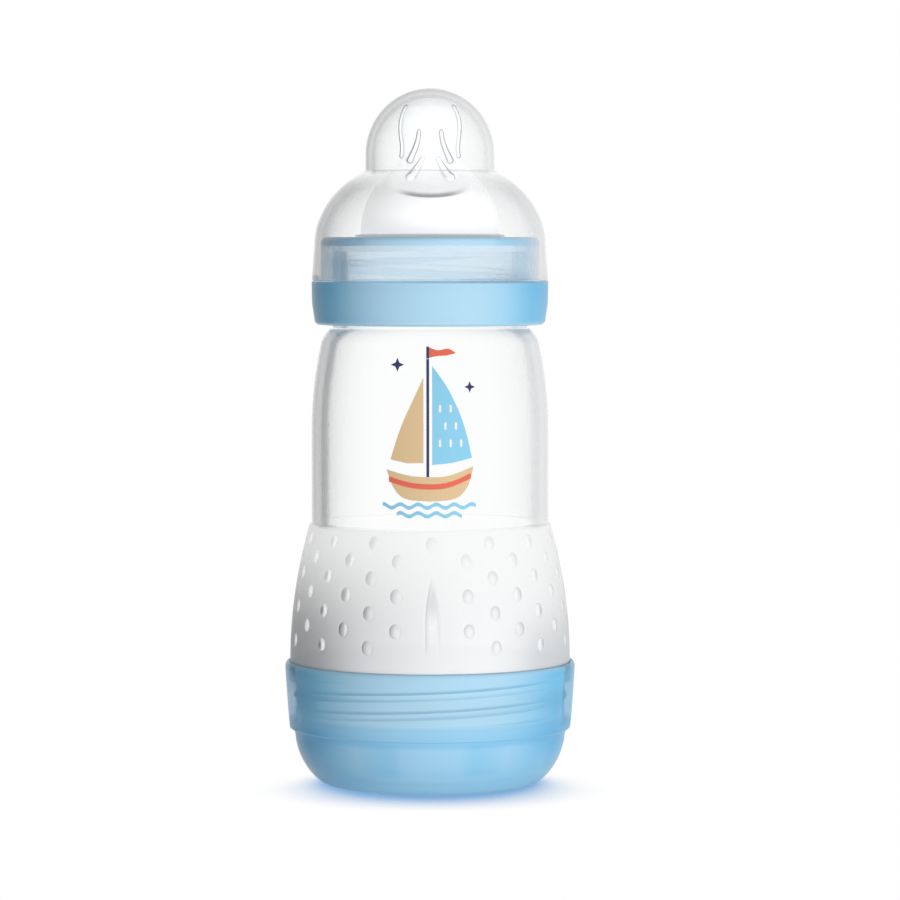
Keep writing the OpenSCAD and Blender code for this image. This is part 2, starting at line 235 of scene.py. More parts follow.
class Wire:
    """A socket in a node tree that can be used in sums."""

    def __init__(self, tree, socket=None):
        self.tree = tree
        self.socket = socket

    def node(self, kind, sockets=None, out=0, **settings):
        """Add a node: its settings first, then the values or links of its sockets."""
        made = self.tree.nodes.new("ShaderNode" + kind)
        for name, value in settings.items():
            setattr(made, name, value)
        for name, value in (sockets or {}).items():
            if isinstance(value, Wire):
                self.tree.links.new(value.socket, made.inputs[name])
            else:
                made.inputs[name].default_value = value
        return Wire(self.tree, made.outputs[out] if made.outputs else None)

    def other(self, out):
        """Another output of the node that this socket is on."""
        return Wire(self.tree, self.socket.node.outputs[out])

    def maths(self, operation, *values):
        """Add one Math node that works on this socket and the values."""
        return self.node("Math", dict(enumerate((self, *values))), operation=operation)

    def __rsub__(self, other):
        return self.node("Math", {0: other, 1: self}, operation="SUBTRACT")

    __add__ = __radd__ = sum_step("ADD")
    __sub__ = sum_step("SUBTRACT")
    __mul__ = __rmul__ = sum_step("MULTIPLY")
    __truediv__ = sum_step("DIVIDE")
    __pow__ = sum_step("POWER")
    __mod__ = sum_step("MODULO")
    __abs__ = sum_step("ABSOLUTE")
    __round__ = sum_step("ROUND")
    at_least = sum_step("MAXIMUM")

    def rise(self, low, high):
        """0 where this socket is below low, 1 above high, with a smooth rise between them."""
        sockets = {"Value": self, "From Min": low, "From Max": high}
        return self.node("MapRange", sockets, interpolation_type="SMOOTHSTEP")

    def band(self, low, high, soft):
        """1 between low and high, 0 outside, with soft edges."""
        return self.rise(low - soft, low + soft) * (1 - self.rise(high - soft, high + soft))

    def blend(self, first, second):
        """A colour between two colours, by this socket."""
        return self.node("Mix", {"Factor": self, 6: first, 7: second}, 2, data_type="RGBA")


def rise(value, low, high):
    """0 below low, 1 above high, and a smooth rise between them, for a number or a Wire."""
    if isinstance(value, Wire):
        return value.rise(low, high)
    share = min(1, max(0, (value - low) / (high - low)))
    return share * share * (3 - 2 * share)


def at_least(value, least):
    """The larger of two values, the first of which is a number or a Wire."""
    return value.at_least(least) if isinstance(value, Wire) else max(value, least)


def new_finish(name):
    """A new material with an empty node tree. Gives the material and a Wire to its tree."""
    finish = bpy.data.materials.new(name)
    finish.use_nodes = True
    finish.node_tree.nodes.clear()
    return finish, Wire(finish.node_tree)


def show(tree, shader):
    """Send a shader to the material's output."""
    tree.node("OutputMaterial", {"Surface": shader})


def paint(code):
    """The colour of a hex code, as light values that a shader takes."""
    parts = [int(code[i : i + 2], 16) / 255 for i in (0, 2, 4)]
    return [*(c / 12.92 if c < 0.04045 else ((c + 0.055) / 1.055) ** 2.4 for c in parts), 1]


def place_on(tree):
    """The place on a piece in metres, and its height in millimetres."""
    spot = tree.node("TexCoord", out="Object")
    return spot, tree.node("SeparateXYZ", {"Vector": spot}, "Z") / MM


def angle_on(tree, spot):
    """The angle of a place round the axis, from the front to the right, in radians."""
    split = tree.node("SeparateXYZ", {"Vector": spot})
    return split.other("X").maths("ARCTAN2", split.other("Y") * -1)


def mottle(tree, spot, per_metre):
    """Soft blotches from 0 to 1, so many to the metre."""
    return tree.node("TexNoise", {"Vector": spot, "Scale": per_metre, "Detail": 2})


def bumped(tree, height, strength, distance=0.05 * MM, over=None):
    """A surface direction that follows a height, laid over another such direction if there is one."""
    sockets = {"Height": height, "Strength": strength, "Distance": distance}
    if over:
        sockets["Normal"] = over
    return tree.node("Bump", sockets)


def edge_on(tree, power=1):
    """0 where a wall is seen straight on, 1 where it is seen edge on."""
    return tree.node("LayerWeight", {"Blend": 0.5}, "Facing") ** power


def plastic(tree, sockets):
    """A Principled surface."""
    return tree.node("BsdfPrincipled", sockets)


def mixed(tree, share, first, second):
    """Two surfaces mixed: share is how much of it is the second, from 0 to 1."""
    return tree.node("MixShader", {0: share, 1: first, 2: second})


def let_through(tree, surface, tint, cover):
    """Mix a surface with a tinted window. cover is how much of it is surface, from 0 to 1."""
    return mixed(tree, cover, tree.node("BsdfTransparent", {"Color": tint}), surface)


# %% [markdown]
# Clear plastic
# Clear plastic could be true glass, but its wall is thin and barely bends light, and true glass is slow and
# hides what is inside once it leaves this program. So the surface is mixed with a window: nearly all window
# where the wall is seen straight on, and greyer towards the edge, where the eye looks along the wall. The
# far wall adds less than the near one, and an inside adds a fine line, where the wall bends the light most.

# %% Clear plastic
CLEAR_TINT = (0.996, 0.997, 0.997, 1)
LEAST_COVER = 0.005
FAR_SHARE = 0.3
SMALL_DOME_Z = 158


def lying(tree):
    """How level a surface lies, from 0 where it is upright to 1."""
    normal = tree.node("NewGeometry", out="Normal")
    return abs(tree.node("SeparateXYZ", {"Vector": normal}, "Z"))


def upright(tree, lowered=1):
    """1 where a surface stands upright or slopes, and 0.1 where it lies level."""
    return 1 - 0.9 * lying(tree).rise(0.7, 0.92) * lowered


def near_wall(tree, inner=0):
    """1 where the surface is on the near wall, less on the far one, which is seen through the near one."""
    behind = tree.node("NewGeometry", out="Backfacing")
    return FAR_SHARE + (1 - FAR_SHARE) * behind if inner else 1 - (1 - FAR_SHARE) * behind


def edge_cover(tree, share, power):
    """Cover that grows towards the edge by a power, and lets a little light in again at the very edge."""
    return share * edge_on(tree, power) * (1 - 0.45 * edge_on(tree).rise(0.74, 0.9))


def clear_finish(name, inner, share, power, line=None, low_z=None, marks_at=None):
    """Clear plastic that covers more towards the edge.

    inner is 1 for the inside of a wall. line is a line's strength and the stretch, from 0 straight on to 1
    edge on, that it fills. Below low_z there is no cover. marks_at gives more cover, by height.
    """
    finish, tree = new_finish(name)
    spot, height = place_on(tree)
    flow = mottle(tree, spot, 60)
    cover = edge_cover(tree, share, power)
    if line:
        cover = cover + line[0] * edge_on(tree).band(line[1], line[2], 0.06)
    below_dome = 1 - height.rise(SMALL_DOME_Z, SMALL_DOME_Z + 2)
    cover = cover * upright(tree, below_dome) * near_wall(tree, inner)
    if low_z:
        cover = cover * height.rise(low_z - 1, low_z)
    if marks_at:
        cover = cover + marks_at(tree, height) * near_wall(tree, inner)
    sockets = {
        "Base Color": flow.blend(paint("eceeef"), paint("f3f5f6")),
        "Roughness": 0.06 + 0.05 * flow,
        "Normal": bumped(tree, flow, 0.05),
        "Specular IOR Level": 0.2,
    }
    show(tree, let_through(tree, plastic(tree, sockets), CLEAR_TINT, LEAST_COVER + cover))
    return finish


clear_outside = clear_finish("clear_plastic", 0, 1.35, 2.2)
clear_inside = clear_finish("clear_plastic_inside", 1, 0.4, 1.5, (0.12, 0.62, 0.86))
print("two clear finishes are ready; the bottle's inside and the cap get their own")

# %% [markdown]
# Tinted plastic
# The ring and the base are moulded in a milky light blue. Light goes some way into it, so the threads and the
# valve show as darker bands, and a thick place looks deeper in colour than a thin one; the threads' shade is
# also painted on the base as grey lines. A pale and a deep blue are mixed by how thick the wall is at a place,
# and the front of the cup is painted deeper as painted shade. Towards the edge, where the eye looks along the
# wall, a second surface in deeper blues takes over.


# %% Tinted plastic
PALE_BLUE = "bfe6fb"
DEEP_BLUE = "7ccdf6"
DARK_BLUE = "5fb4e6"
PAINTED_SHADE_BLUE = "84b4d2"
RING_TINT = 0.97
BASE_TINT = 0.86
THREAD_LEAD = 9.2
THREAD_FRONT_Z = 21.4
COLLAR_Z = 13.8
PADS = 8


def tinted_finish(name, tint, cover_at, depth_at, painted_shade_at=None):
    """Milky blue plastic. Its cover, its depth of colour and its painted grey shade, 0 to 1, depend on the
    place.
    """
    finish, tree = new_finish(name)
    spot, height = place_on(tree)
    flow = mottle(tree, spot, 45)
    depth = depth_at(tree, spot, height) + 0.06 * flow
    colour = depth.blend(paint(PALE_BLUE), paint(DEEP_BLUE))
    if painted_shade_at:
        # Painted shade: the colour turns grey-blue along the painted thread lines.
        colour = painted_shade_at(tree, spot, height).blend(colour, paint(PAINTED_SHADE_BLUE))
    sockets = {
        "Base Color": colour,
        "Roughness": 0.26 + 0.08 * flow,
        "Normal": bumped(tree, mottle(tree, spot, 900), 0.03),
        "Specular IOR Level": 0.12,
    }
    wall = plastic(tree, sockets)
    sockets["Base Color"] = depth.blend(paint(DEEP_BLUE), paint(DARK_BLUE))
    rim = plastic(tree, sockets)
    edge = edge_on(tree).rise(0.05, 0.55) * (1 - lying(tree))
    both = mixed(tree, edge, wall, rim)
    window = (tint, 0.6 + 0.4 * tint, 0.9 + 0.1 * tint, 1)
    show(tree, let_through(tree, both, window, cover_at(tree, spot, height)))
    return finish


def ring_cover(tree, spot, height):
    """Thin at the crown, and nearly solid at the plate and the band."""
    band = 1 - height.rise(band_top_z - 0.7, band_top_z - 0.1)
    plate = height.rise(plate_z - 0.4, plate_z)
    strip = edge_on(tree).rise(0.34, 0.42) * (1 - band) * (1 - plate)
    return 0.13 + 0.83 * band + 0.8 * plate + 0.24 * strip


def ring_depth(tree, spot, height):
    """Pale, and a little deeper at the band."""
    band = 1 - height.rise(band_top_z - 0.4, band_top_z + 0.2)
    return 0.04 + 0.04 * band


def painted_thread_shade(tree, spot, height):
    """Painted thread shade: fine lines that climb round the wall at the threads' upper flanks, and fainter ones
    below them.
    """
    step = 2 * (height - THREAD_FRONT_Z) / THREAD_LEAD - angle_on(tree, spot) / math.pi
    lines = 0
    for lower, share in ((0, 0.8), (0.36, 0.4)):
        off = step + lower - round(step + lower)
        lines = share * off.rise(-0.05, 0) * (1 - off.rise(0.02, 0.2)) + lines
    return lines * height.band(lower_rim_z + 0.3, base_top_z - 2.6, 0.3)


def base_cover(tree, spot, height):
    """Nearly solid at the foot of the collar and its threads, and a little clearer at the collar's edge."""
    edge = height.rise(COLLAR_Z + 0.1, lower_rim_z) * edge_on(tree).rise(0.61, 0.67)
    return 0.82 + 0.12 * height.rise(23, 26.5) + 0.06 * painted_thread_shade(tree, spot, height) - 0.32 * edge


def base_depth(tree, spot, height):
    """Deeper at the ledge, where the valve sits behind the wall, at the pads in the cup and at the foot; the
    front of the cup is painted deeper as painted shade.
    """
    turn = angle_on(tree, spot)
    cup = height.band(5, 13, 1.2)
    pads = cup * (turn * PADS + math.pi).maths("COSINE").rise(0, 1)
    # Painted shade: the front of the cup is painted a deeper blue.
    front = cup * (1 - abs(turn).rise(0.25, 0.5))
    ledge = height.band(12.4, lower_rim_z - 0.1, 0.7)
    foot = 1 - height.rise(2, 8)
    return 0.08 + 0.4 * ledge + 0.3 * pads + 0.2 * front + 0.25 * foot


def even(share):
    """The same share all over."""
    return lambda tree, spot, height: share


ring_blue = tinted_finish("ring_plastic", RING_TINT, ring_cover, ring_depth)
ring_blue_inside = tinted_finish("ring_plastic_inside", RING_TINT, even(0.06), even(0.1))
base_blue = tinted_finish("base_plastic", BASE_TINT, base_cover, base_depth, painted_thread_shade)
base_blue_inside = tinted_finish("base_plastic_inside", BASE_TINT, even(0.35), even(0.2))
thread_blue = tinted_finish("thread_plastic", BASE_TINT, even(0.6), even(0.5))

# %% [markdown]
# Silicone
# The teat is milky silicone. Light scatters inside it and comes out on all sides, so it looks softly bright
# even where it faces away from the lamp; a little painted glow stands for that. Its nipple is thinner and
# lets more light through. The ribs on it are clearer, with grey outlines where the eye looks along their
# sides. The scoop's lip, the skirt's foot and what lies under the ring's plate get less light, so that shade
# is painted on: they are painted darker and their glow is dimmed.


# %% Silicone
# Painted light: the silicone gets a glow of its own, for light that scatters out of it.
PAINTED_GLOW = 0.5
SILICONE_TINT = (0.97, 0.98, 0.985, 1)
SCOOP_LIP_Z = ring_top_z + 10.5
CLEARER_Z = ring_top_z + 11


def silicone_finish(name, nipple_cover, matt_z, outline=None):
    """Milky silicone: solid and matt below matt_z, clearer above it.

    outline is the stretch, from 0 straight on to 1 edge on, over which a grey outline sets in.
    """
    finish, tree = new_finish(name)
    spot, height = place_on(tree)
    skin = mottle(tree, spot, 2500)
    thin = height.rise(matt_z, matt_z + 6)
    cover = 0.95 + thin * (nipple_cover + (0.9 - nipple_cover) * edge_on(tree, 2) - 0.95)
    across = tree.node("SeparateXYZ", {"Vector": spot}, "X") / MM
    over_lip = height - SCOOP_LIP_Z - 0.018 * across**2
    lip = over_lip.rise(-0.95, -0.75) * (1 - over_lip.rise(-0.5, 0.75)) * (1 - abs(across).rise(4, 9.6))
    under_plate = 1 - height.rise(plate_z - 0.2, plate_z)
    foot = height.band(ring_top_z - 0.2, ring_top_z + 0.8, 0.2)
    # Painted shade: the scoop's lip, the skirt's foot and the part under the ring's plate are painted darker and
    # glow less.
    painted_shade = (0.9 * lip).at_least(0.55 * foot).at_least(0.3 * under_plate)
    milk = mottle(tree, spot, 80).blend(paint("d6d8da"), paint("dedfe0"))
    sockets = {
        "Base Color": painted_shade.blend(milk, paint("9ea3a7")),
        "Roughness": 0.55 - 0.25 * thin + 0.06 * skin,
        "Normal": bumped(tree, skin, 0.06),
        "Emission Color": painted_shade.blend(paint("fffdfc"), paint("3c4042")),
        "Emission Strength": PAINTED_GLOW,
    }
    rubber = plastic(tree, sockets)
    if outline:
        sockets["Base Color"] = paint("8b9095")
        sockets["Emission Color"] = paint("5a5e61")
        rubber = mixed(tree, edge_on(tree).rise(*outline), rubber, plastic(tree, sockets))
    show(tree, let_through(tree, rubber, SILICONE_TINT, cover))
    return finish


teat_silicone = silicone_finish("teat_silicone", 0.35, CLEARER_Z)
rib_silicone = silicone_finish("rib_silicone", 0.8, CLEARER_Z, (0.08, 0.36))
low_rib_silicone = silicone_finish("low_rib_silicone", 0.8, CLEARER_Z, (0.26, 0.6))
valve_silicone = silicone_finish("valve_silicone", 0.8, 40)

# %% [markdown]
# The bottle's wall
# The bottle is one shell, open at both ends, so its outline runs up the outside and down the inside. The rows
# on the grip are drawn close together, eight to a row of dimples, so that the next step has points to press.

# %% The bottle's wall
GRIP_START = base_top_z - 5
GRIP_END = lower_rim_z + 47.4
GRIP_R = 35
GRIP_TOP_R = 30.05
GRIP_CURVE_Z = base_top_z + 0.3
LOWER_MOUTH_R = GRIP_R - 2.65
CLEAR_R = 29.6
NECK_R = 24.3
NECK_LOW_Z = upper_rim_z - 18.9
SHOULDER_H = 4.2
TAPER_H = 21.5
TAPER_IN = 2.35
BOTTLE_WALL = 1.6
DIMPLES_ROUND = 15
DIMPLE_ROWS = 7
DIMPLE_PITCH = 4.2
DIMPLE_LOW_Z = lower_rim_z + 19.1
ROW_GAP = DIMPLE_PITCH / 8
COLUMNS = 32 * DIMPLES_ROUND

shoulder_z = NECK_LOW_Z - SHOULDER_H
taper_z = shoulder_z - TAPER_H


def grip_radius(z):
    """The grip's radius: full near the base, then drawn in along a parabola."""
    share = max(0, z - GRIP_CURVE_Z) / (GRIP_END - GRIP_CURVE_Z)
    return GRIP_R - (GRIP_R - GRIP_TOP_R) * share**2


def clear_radius(z):
    """The radius of the clear wall, which tapers towards the shoulder."""
    return CLEAR_R - TAPER_IN * (max(0, z - taper_z) / TAPER_H) ** 2


def bottle_outline(grip_rows):
    """The outside of the bottle from the lower rim to the upper one."""
    grip_low_z = GRIP_START + 0.6
    return (
        [(LOWER_MOUTH_R, lower_rim_z), (LOWER_MOUTH_R, grip_low_z), (GRIP_R - 0.5, grip_low_z + 1.2)]
        + [(GRIP_R, grip_low_z + 2)]
        + [(grip_radius(z), z) for z in grip_rows]
        + [(GRIP_TOP_R, GRIP_END - 0.1), (GRIP_TOP_R - 0.15, GRIP_END + 0.1), (CLEAR_R, GRIP_END + 0.4)]
        + [(clear_radius(z), z) for z in spread(taper_z, shoulder_z, 12)]
        + arc(NECK_R, shoulder_z, CLEAR_R - TAPER_IN - NECK_R, SHOULDER_H, 8, 90, 10, 1.4)
        + [(NECK_R, upper_rim_z)]
    )


fine_rows = [DIMPLE_LOW_Z + ROW_GAP * i for i in range(-11, 54)]
coarse_rows = spread(GRIP_CURVE_Z, GRIP_END - 2, 8)
outside = bottle_outline(fine_rows)
inside = [(r - BOTTLE_WALL, z) for r, z in reversed(bottle_outline(coarse_rows))]
shell = turned(outside + inside, COLUMNS)
print("the bottle's wall has", len(outside), "rows outside and", len(inside), "inside")

# %% [markdown]
# Dimples and the thumb groove
# Seven staggered rows of shallow dimples give the hand its hold, and a long groove marks the front. They
# could be cut with balls, but a cut leaves hard rims and thousands of slivers. Pressing is softer: each
# point gets a weight for how deep it lies, and a Displace modifier moves the wall in by that weight. The sums
# take plain numbers here and a shader's sockets in the next step.

# %% Dimples and the thumb groove
DIMPLE_DEPTH = 0.3
FRONT_GAP = 3.4
DIMPLE_STEP = (180 - FRONT_GAP) / DIMPLES_ROUND
DIMPLE_HALF_W = 1.4
DIMPLE_HALF_H = 1.8
GROOVE_LOW_Z = lower_rim_z + 16.8
GROOVE_H = 19.7
GROOVE_END_Z = GROOVE_LOW_Z + GROOVE_H
GROOVE_HALF_W = 1.6
GROOVE_DEPTH = 0.45
GROOVE_POINT = 0.45


def press(piece, depth, share_at):
    """Press a surface in by a depth in millimetres, times the share at each point."""
    group = piece.vertex_groups.new(name="pressed")
    for vertex in piece.data.vertices:
        share = share_at(vertex.co / MM)
        if share > 0:
            group.add([vertex.index], share, "REPLACE")
    modify(piece, "DISPLACE", vertex_group=group.name, mid_level=0, strength=-depth * MM)
    piece.vertex_groups.clear()


def dimples_at(angle, distance, z):
    """1 in the middle of a dimple, 0 on the plain wall, by the angle from the front in degrees."""
    row = round((z - DIMPLE_LOW_Z) / DIMPLE_PITCH)
    turn = ((angle - FRONT_GAP * rise(angle, 4, 12)) / DIMPLE_STEP - row % 2) / 2
    across = (turn - round(turn)) * math.radians(2 * DIMPLE_STEP) * distance
    up = z - DIMPLE_LOW_Z - row * DIMPLE_PITCH
    away = (across / DIMPLE_HALF_W) ** 2 + (up / DIMPLE_HALF_H) ** 2
    top_z = DIMPLE_LOW_Z + (DIMPLE_ROWS - 1) * DIMPLE_PITCH + 2
    rows = rise(z, DIMPLE_LOW_Z - 2.02, DIMPLE_LOW_Z - 1.98) * (1 - rise(z, top_z - 0.02, top_z + 0.02))
    by_groove = (1 - rise(angle, 6.3, 7.4)) * (1 - rise(z, GROOVE_END_Z + 1.4, GROOVE_END_Z + 1.6))
    return at_least(1 - away, 0) * rows * (1 - by_groove)


def groove_at(angle, distance, z):
    """1 in the deepest part of the groove, 0 on the plain wall. From GROOVE_POINT up it runs to a point."""
    t = (z - GROOVE_LOW_Z) / GROOVE_H
    narrowed = at_least((t - GROOVE_POINT) / (1 - GROOVE_POINT), 0) ** 2
    across = angle * math.radians(1) * distance / (GROOVE_HALF_W * at_least(1 - narrowed, 0.01))
    return at_least(1 - across**3, 0) * at_least(4 * t * (1 - t), 0)


def outside_only(share_at):
    """The share at a point of the grip's outside, and none inside."""

    def share(spot):
        distance = math.hypot(spot.x, spot.y)
        if not GRIP_CURVE_Z < spot.z < GRIP_END or distance < grip_radius(spot.z) - 0.7:
            return 0
        return share_at(abs(math.degrees(math.atan2(spot.x, -spot.y))), distance, spot.z)

    return share


press(shell, DIMPLE_DEPTH, outside_only(dimples_at))
press(shell, GROOVE_DEPTH, outside_only(groove_at))

# %% [markdown]
# Frost
# The mould of the grip is finely etched, so its plastic is frosted; the frost thins out towards the clear
# wall. Light comes through it as well as from outside, and that turns the shade of a dimple round: dark on
# its outer side, bright towards the middle. A Bump on the same dimples as the pressed ones gives that shade.
# Low down the grip is full, and at its sides a second, greyer surface takes over, as painted shade.

# %% Frost
FROST_FULL_Z = 38
SHADE_HEIGHT = 0.8 * MM

frosted_finish, tree = new_finish("clear_and_frosted_plastic")
spot, height = place_on(tree)
grain = mottle(tree, spot, 6000)
split = tree.node("SeparateXYZ", {"Vector": spot})
distance = (split.other("X") ** 2 + split.other("Y") ** 2) ** 0.5 / MM
angle = abs(angle_on(tree, spot)) * (180 / math.pi)
dimples = dimples_at(angle, distance, height)
groove = groove_at(angle, distance, height)
groove_top = height.rise(GROOVE_LOW_Z + 0.35 * GROOVE_H, GROOVE_LOW_Z + 0.8 * GROOVE_H)
frosted = height.band(GRIP_START, GRIP_END, 0.12)

frost = frosted * (0.97 - 0.66 * height.rise(FROST_FULL_Z, GRIP_END) + 0.2 * dimples)
from_inside = tree.node("NewGeometry", out="Backfacing")
thin = from_inside.at_least(0.8 * dimples**0.5 * edge_on(tree).rise(0.2, 0.38))
frost = frost * (1 - thin) * (1 - 0.4 * groove * (1 - groove_top) * height.rise(38, 43))
clear = (LEAST_COVER + edge_cover(tree, 1.35, 2.2)) * upright(tree) * near_wall(tree) * (1 - 0.8 * frosted)

shade = bumped(tree, dimples * (0.55 + 0.45 * height.rise(24, 46)) + 0.8 * groove, 1, SHADE_HEIGHT)
# Painted shade: the upper part of the thumb groove is painted a darker grey, and its lower part has less frost.
frost_colour_with_groove_shade = (0.6 * groove * groove_top).blend(paint("f6f7f8"), paint("a6abaf"))
sockets = {
    "Base Color": frosted.blend(paint("eff1f2"), frost_colour_with_groove_shade),
    "Roughness": 0.08 + frosted * (0.36 + 0.06 * grain),
    "Specular IOR Level": 0.2,
    "Normal": bumped(tree, grain * frosted, 0.1, over=shade),
}
wall = plastic(tree, sockets)
# Painted shade: low down, the grip's sides are painted a greyer colour.
sockets["Base Color"] = frosted.blend(paint("eff1f2"), paint("dadde0"))
painted_side_shade = (1 - height.rise(32, 50)) * edge_on(tree).rise(0.08, 0.42)
both = mixed(tree, painted_side_shade, wall, plastic(tree, sockets))
show(tree, let_through(tree, both, CLEAR_TINT, clear + frost * (1 - clear)))
lined_inside = clear_finish("clear_bottle_inside", 1, 0.6, 2.4, (0.5, 0.58, 0.76), low_z=GRIP_END)
print("frost from", round(GRIP_START, 1), "to", round(GRIP_END, 1), "mm")
finish_piece(shell, "bottle_shell", "bottle", frosted_finish, lined_inside, ["bottle"], sharp=30)

# %% [markdown]
# Screw threads
# A thread is a ridge that climbs as it goes round. A Screw modifier could sweep its section, but the ends
# would be cut off square. Here a chain of points climbs the wall, becomes a curve, and is given a round
# section whose size fades at both ends, as a moulded thread runs out into its wall. Ribs are made so too.

# %% Screw threads
NECK_LEAD = 8
RING_BORE_R = NECK_R + 1.3
BASE_BORE_R = LOWER_MOUTH_R + 1.3
THREAD_POINTS = 48


def ridge(points, radius_at, part, name, finish):
    """A round ridge through points in millimetres. radius_at gives its radius at each point's number."""
    piece = draw(points)
    bpy.ops.object.convert(target="CURVE")
    piece = bpy.context.object
    piece.data.dimensions = "3D"
    piece.data.bevel_depth = MM
    piece.data.bevel_resolution = 3
    piece.data.use_fill_caps = True
    spline = piece.data.splines[0]
    backwards = (spline.points[0].co.xyz / MM - Vector(points[0])).length > 0.001
    for i, point in enumerate(spline.points):
        point.radius = radius_at(len(points) - 1 - i if backwards else i)
    bpy.ops.object.convert(target="MESH")
    return finish_piece(bpy.context.object, name, part, finish)


def thread(name, wall_r, low_z, lead, start, turns, part, finish, full_r=0.95):
    """One start of a thread from an angle in degrees. It climbs by its lead in a turn, and its ends fade."""
    last = round(THREAD_POINTS * turns)
    points = []
    for i in range(last + 1):
        t = math.radians(start) + 2 * math.pi * i / THREAD_POINTS
        points.append((wall_r * math.cos(t), wall_r * math.sin(t), low_z + lead * i / THREAD_POINTS))

    def radius_at(i):
        return full_r * max(0.05, rise(min(i, last - i), -1, 7))

    return ridge(points, radius_at, part, name, finish)


thread("neck_thread", NECK_R, 123.2, NECK_LEAD, 200, 1.02, "bottle", clear_outside)
thread("ring_thread", RING_BORE_R, 123.4, NECK_LEAD, 290, 1.02, "screw_ring", ring_blue_inside)
for i, start in enumerate((150, 330)):
    thread(f"mouth_thread_{i + 1}", LOWER_MOUTH_R, 18.9, THREAD_LEAD, start, 0.6, "bottle", clear_outside)
    thread(f"base_thread_{i + 1}", BASE_BORE_R, 18.9, THREAD_LEAD, start + 85, 0.6, "base", thread_blue, 0.6)

# %% [markdown]
# The base
# The base is a cup with a collar. Its rim hides the foot of the grip, and its inside is wide enough for the
# thread. Eight flat pads stand on the floor inside, between the panels; they are raised from the inner wall
# by the same modifier that pressed the dimples, and the vents are cut through the floor between them.

# %% The base
COLLAR_IN_R = GRIP_R + 0.3
COLLAR_R = COLLAR_IN_R + 0.95
COLLAR_LOW_R = COLLAR_R - 1.1
CUP_TOP_R = COLLAR_LOW_R - 0.9
CUP_R = CUP_TOP_R - 0.5
CUP_IN_R = CUP_R - 2
CUP_TURN_H = 12.2
FOOT_R = 25.6
FLOOR_LOW_Z = 1.6
FLOOR_Z = 3.2
LEDGE_IN_R = BASE_BORE_R - 3
PAD_HALF_TURN = 5.5
VENT_R = 1.5
VENT_CIRCLE_R = 13
PAD_H = 1

base_outside = (
    [(0, FLOOR_LOW_Z), (FOOT_R - 3.4, FLOOR_LOW_Z), (FOOT_R - 2.6, 0.4), (FOOT_R - 2.1, 0)]
    + arc(FOOT_R, CUP_TURN_H, CUP_R - FOOT_R, CUP_TURN_H, -90, 0, 24, 1.65)
    + [(CUP_TOP_R, COLLAR_Z), (COLLAR_LOW_R - 0.25, COLLAR_Z + 0.05), (COLLAR_LOW_R, COLLAR_Z + 0.3)]
    + [(COLLAR_LOW_R + 1.1 * t**0.8, COLLAR_Z + 0.3 + 15 * t) for t in spread(0.25, 1, 3)]
    + arc(COLLAR_R - 0.8, base_top_z - 1.4, 0.8, 1.4, 0, 90, 8)
)
base_inside = (
    [(COLLAR_IN_R, base_top_z - 0.2), (COLLAR_IN_R, GRIP_START + 0.4), (BASE_BORE_R, GRIP_START)]
    + [(BASE_BORE_R, ledge_z), (LEDGE_IN_R, ledge_z), (LEDGE_IN_R, ledge_z - 1)]
    + arc(FOOT_R, CUP_TURN_H, CUP_IN_R - FOOT_R, CUP_TURN_H - FLOOR_Z, 0, -90, 24, 1.8)
    + [(r, FLOOR_Z) for r in (20, 15, 10, 0)]
)
base = turned(base_outside + base_inside, 288)


def cup_inside_radius(z):
    """The radius of the cup's inner wall at a height."""
    share = min(1, max(0, (CUP_TURN_H - z) / (CUP_TURN_H - FLOOR_Z)))
    return FOOT_R + (CUP_IN_R - FOOT_R) * (1 - share**1.8) ** (1 / 1.8)


def pad_share(spot):
    """How far a point of the cup's inner wall stands on a pad, with soft edges."""
    r = math.hypot(spot.x, spot.y)
    if not FLOOR_Z + 0.1 < spot.z < ledge_z - 0.5 or abs(r - cup_inside_radius(spot.z)) > 0.4:
        return 0
    turn = math.degrees(math.atan2(spot.x, -spot.y)) * PADS / 360 % 1
    away = abs(turn - 0.5) * 360 / PADS
    return (1 - rise(away, PAD_HALF_TURN - 1, PAD_HALF_TURN + 1)) * rise(spot.z, FLOOR_Z, 6)


press(base, -PAD_H, pad_share)


def cut(piece, cutter):
    """Cut one piece out of another."""
    modify(piece, "BOOLEAN", operation="DIFFERENCE", solver="EXACT", object=cutter)
    bpy.data.objects.remove(cutter)


for i in range(PADS):
    turn = 2 * math.pi * i / PADS
    spot = (VENT_CIRCLE_R * MM * math.cos(turn), VENT_CIRCLE_R * MM * math.sin(turn), 2.4 * MM)
    bpy.ops.mesh.primitive_cylinder_add(vertices=24, radius=VENT_R * MM, depth=4 * MM, location=spot)
    cut(base, bpy.context.object)
finish_piece(base, "base_shell", "base", base_blue, base_blue_inside, ["base"], sharp=32)

# %% [markdown]
# The screw ring
# A thin crown stands over the neck, a plate holds the teat down, and a wider band gives the fingers a grip.
# All three are one moulding, so one outline is turned, with the corners rounded as the mould leaves them.

# %% The screw ring
CROWN_R = RING_BORE_R + 1.55
BAND_R = CROWN_R + 2.35
BAND_LOW_R = BAND_R - 0.7
BAND_IN_R = BAND_LOW_R - 2.1
TEAT_HOLE_R = 16.6

